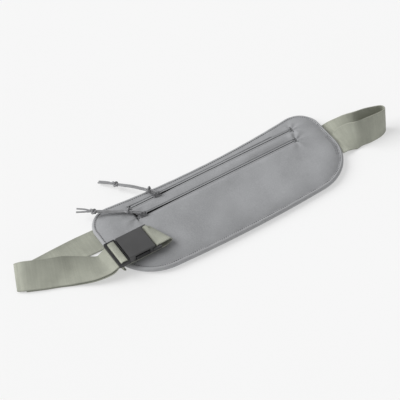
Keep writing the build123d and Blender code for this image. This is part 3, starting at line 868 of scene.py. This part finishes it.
def strap_behind():
    """The waist strap from its seam, round the right loop, behind the pouch and to the left fold."""
    stations = [
        ((146, STRAP_SEAM_Y, SEAM_Z), FLAT),
        ((151, STRAP_SEAM_Y, SEAM_Z), FLAT),
        ((153, STRAP_SEAM_Y, SEAM_Z), FLAT),
        ((160.5, -11.1, 6.1), (-0.02, 0.93, 0.37)),
        ((171, -19.6, 14.3), (0, 0.40, 0.92)),
        ((185, -20.7, 13.9), (0.05, 0.37, 0.93)),
        ((197, -21.3, 14.3), (0.04, 0.30, 0.95)),
        ((205, -20.8, 14.8), (0.02, 0.19, 0.98)),
        ((209.6, -18.6, 15.2), (0, 0.10, 0.99)),
        ((211, -15, 15.2), (0, 0.08, 1)),
        ((209.3, -11.6, 15.1), (0, 0.10, 0.99)),
        ((203, -9.3, 14.9), (0.02, 0.16, 0.99)),
        ((191, -6.3, 14.5), (0.04, 0.26, 0.96)),
        ((177, -4.5, 13.2), (0.02, 0.45, 0.89)),
        ((166, 2, 6.9), (0, 0.86, 0.51)),
        ((158, 9.4, 1.4), (0, 0.98, 0.16)),
        ((151.5, 12, BEHIND_Z), FLAT),
        ((148.5, 12, BEHIND_Z), FLAT),
        ((0, 17.25, BEHIND_Z), FLAT),
        ((-151.5, 22.5, BEHIND_Z), FLAT),
        ((-172, 23, -0.8), FLAT),
        ((-200, 22.5, -0.9), FLAT),
        ((-228, 21.5, -0.5), (0.06, 0.99, 0)),
        ((-243, 21, 1.2), (0.25, 0.96, 0.08)),
        FOLD,
        FEED[0],
    ]
    obj = webbing("waist_strap_rear", stations)
    return place(obj, "root", "webbing", "waist_strap")


def strap_front():
    """The waist strap from the left fold, over the male half's ladder bar and back as a free tail."""
    left, right = LADDER_SLOTS
    wrap = [
        (-14, STRAP_Z), (left - 1.8, STRAP_Z - 0.1), (left - 0.5, BUCKLE_MID_Z - 2.2),
        (left, BUCKLE_MID_Z - 0.2), (left + 0.3, BUCKLE_MID_Z + 1.5), (left + 1.5, OVER_BAR_Z),
        ((left + right) / 2, OVER_BAR_Z + 0.2), (right - 1.5, OVER_BAR_Z),
        (right - 0.3, BUCKLE_MID_Z + 1.5), (right, BUCKLE_MID_Z - 0.2),
        (right - 0.1, BUCKLE_MID_Z - 1.6), (right - 0.8, BUCKLE_MID_Z - 3),
        (right - 2.4, TAIL_Z + 0.1), (right - 4.5, TAIL_Z), (-14, TAIL_Z),
    ]
    ladder = level_run([(MOUTH_X + x, z) for x, z in wrap])
    stations = [FOLD, *FEED, *ladder, *beneath(FEED)]
    obj = webbing("waist_strap_front", stations)
    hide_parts("waist_strap")
    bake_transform(obj)
    return obj


def buckle_tab():
    """The short webbing that holds the female half: sewn in at the left end and folded over the face."""
    edge = -HALF_LENGTH
    climb = (SEAM_Z + TAB_Z) / 2
    top = BUCKLE_MID_Z + 2.45
    under = BUCKLE_MID_Z - 2.45
    skew = (-0.34, 0.94, 0)
    seam_skew = (-0.2, 0.98, 0)
    stations = level_run([(edge + 4, SEAM_Z), (edge + 2.5, SEAM_Z)])
    stations += level_run([
        (edge + 0.2, SEAM_Z), (edge - 1.4, SEAM_Z + 0.7), (edge - 2, climb - 1),
        (edge - 2, climb + 1), (edge - 1.2, TAB_Z - 0.8), (edge + 0.6, TAB_Z),
    ], seam_skew)
    stations += level_run([(edge + 10, TAB_Z), (END_BAR_X - 1, TAB_Z)])
    stations += [
        ((END_BAR_X + 8.5, BUCKLE_Y, TAB_Z + 0.6), skew),
        ((END_BAR_X + 12.5, BUCKLE_Y, (TAB_Z + top) / 2), skew),
        ((END_BAR_X + 9, BUCKLE_Y, top - 0.9), skew),
    ]
    stations += level_run([
        (END_BAR_X + 2.9, top), (END_BAR_X + 0.2, top), (END_BAR_X - 1.2, top - 0.6),
        (END_BAR_X - 1.8, BUCKLE_MID_Z + 0.8), (END_BAR_X - 1.8, BUCKLE_MID_Z - 0.8),
        (END_BAR_X - 1.2, under + 0.6), (END_BAR_X + 0.2, under), (END_BAR_X + 3.9, under + 0.2),
    ])
    return place(webbing("buckle_tab_webbing", stations), "root", "webbing", "buckle_tab")


# ---------------------------------------------------------------- hard parts from the CAD

def dress(node, material, bevel):
    """Gives a carried-over CAD node its material and softened edges."""
    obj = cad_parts[node]
    obj.data.materials.clear()
    obj.data.materials.append(MATERIALS[material])
    modifier = obj.modifiers.new("edges", "BEVEL")
    modifier.width = bevel * MM
    modifier.segments = 2
    modifier.limit_method = "ANGLE"
    modifier.angle_limit = math.radians(40)


# ---------------------------------------------------------------- stage

def stage():
    """A pale floor, soft light and the camera."""
    mesh = bpy.data.meshes.new("floor")
    corners = [(-1, -1), (1, -1), (1, 1), (-1, 1)]
    reach = FLOOR_HALF * MM
    mesh.from_pydata([(x * reach, y * reach, FLOOR_Z * MM) for x, y in corners], [], [(0, 1, 2, 3)])
    mesh.materials.append(floor_paint())
    floor = bpy.data.objects.new("floor", mesh)
    bpy.context.scene.collection.objects.link(floor)

    world = bpy.data.worlds.new("studio")
    world.use_nodes = True
    background = world.node_tree.nodes["Background"]
    background.inputs["Color"].default_value = (1.0, 1.0, 1.0, 1)
    background.inputs["Strength"].default_value = SKY_STRENGTH
    bpy.context.scene.world = world

    sun = bpy.data.lights.new("sun", "SUN")
    sun.energy = SUN_STRENGTH
    sun.angle = math.radians(SUN_SPREAD)
    lamp = bpy.data.objects.new("sun", sun)
    lamp.rotation_euler = Vector(SUN_FROM).to_track_quat("Z", "Y").to_euler()
    bpy.context.scene.collection.objects.link(lamp)

    azimuth, elevation = math.radians(CAMERA_AZIMUTH), math.radians(CAMERA_ELEVATION)
    back = Vector((
        math.sin(azimuth) * math.cos(elevation),
        -math.cos(azimuth) * math.cos(elevation),
        math.sin(elevation),
    ))
    camera = bpy.data.objects.new("camera", bpy.data.cameras.new("camera"))
    camera.data.lens = CAMERA_LENS
    camera.location = back * CAMERA_DISTANCE
    camera.data.shift_x, camera.data.shift_y = CAMERA_SHIFT
    look = (-back).to_track_quat("-Z", "Y").to_matrix().to_4x4()
    roll = Matrix.Rotation(math.radians(CAMERA_ROLL), 4, "Z")
    camera.rotation_euler = (look @ roll).to_euler()
    camera.data.clip_end = 100.0
    bpy.context.scene.collection.objects.link(camera)
    bpy.context.scene.camera = camera
    bpy.context.scene.view_settings.view_transform = "Standard"


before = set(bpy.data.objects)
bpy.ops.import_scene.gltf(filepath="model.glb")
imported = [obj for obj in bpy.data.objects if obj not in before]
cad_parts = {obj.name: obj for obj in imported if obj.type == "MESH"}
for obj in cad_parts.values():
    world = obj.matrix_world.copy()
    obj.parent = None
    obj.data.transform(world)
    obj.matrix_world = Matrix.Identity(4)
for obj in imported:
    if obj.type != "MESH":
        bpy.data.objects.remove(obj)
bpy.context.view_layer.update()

pouch_face()
pouch_back()
pocket_lining()
edge_binding()
binding_stitches()
seam_stitches("strap_seam_stitches", 1, STRAP_SEAM_Y, "strap_stitch")
seam_stitches("tab_seam_stitches", -1, BUCKLE_Y, "tab_stitch")
bar_tacks()
for zip_side in (-1, 1):
    zip_half("main", MAIN_ZIP_Y, MAIN_ZIP_RIGHT, zip_side, MAIN_SLIDER_X, MAIN_PARTING)
    zip_half("front", FRONT_ZIP_Y, FRONT_ZIP_RIGHT, zip_side, FRONT_SLIDER_X, FRONT_PARTING)
cord("main", MAIN_SLIDER_X, MAIN_ZIP_Y, MAIN_CORD, 1.0, 1.2)
cord("front", FRONT_SLIDER_X, FRONT_ZIP_Y, FRONT_CORD, -0.5, 2.6)
strap_behind()
strap_front()
buckle_tab()
dress("buckle_female", "buckle", 0.35)
# the male half and prongs take the darker copy of the buckle plastic: painted shade
dress("buckle_male", "buckle_shade", 0.9)
for hard_node in ("prong_upper", "prong_lower"):
    dress(hard_node, "buckle_shade", 0.35)
for hard_node in ("main_slider", "front_slider", "main_zip_stops", "front_zip_stops"):
    dress(hard_node, "slider", 0.2)
stage()
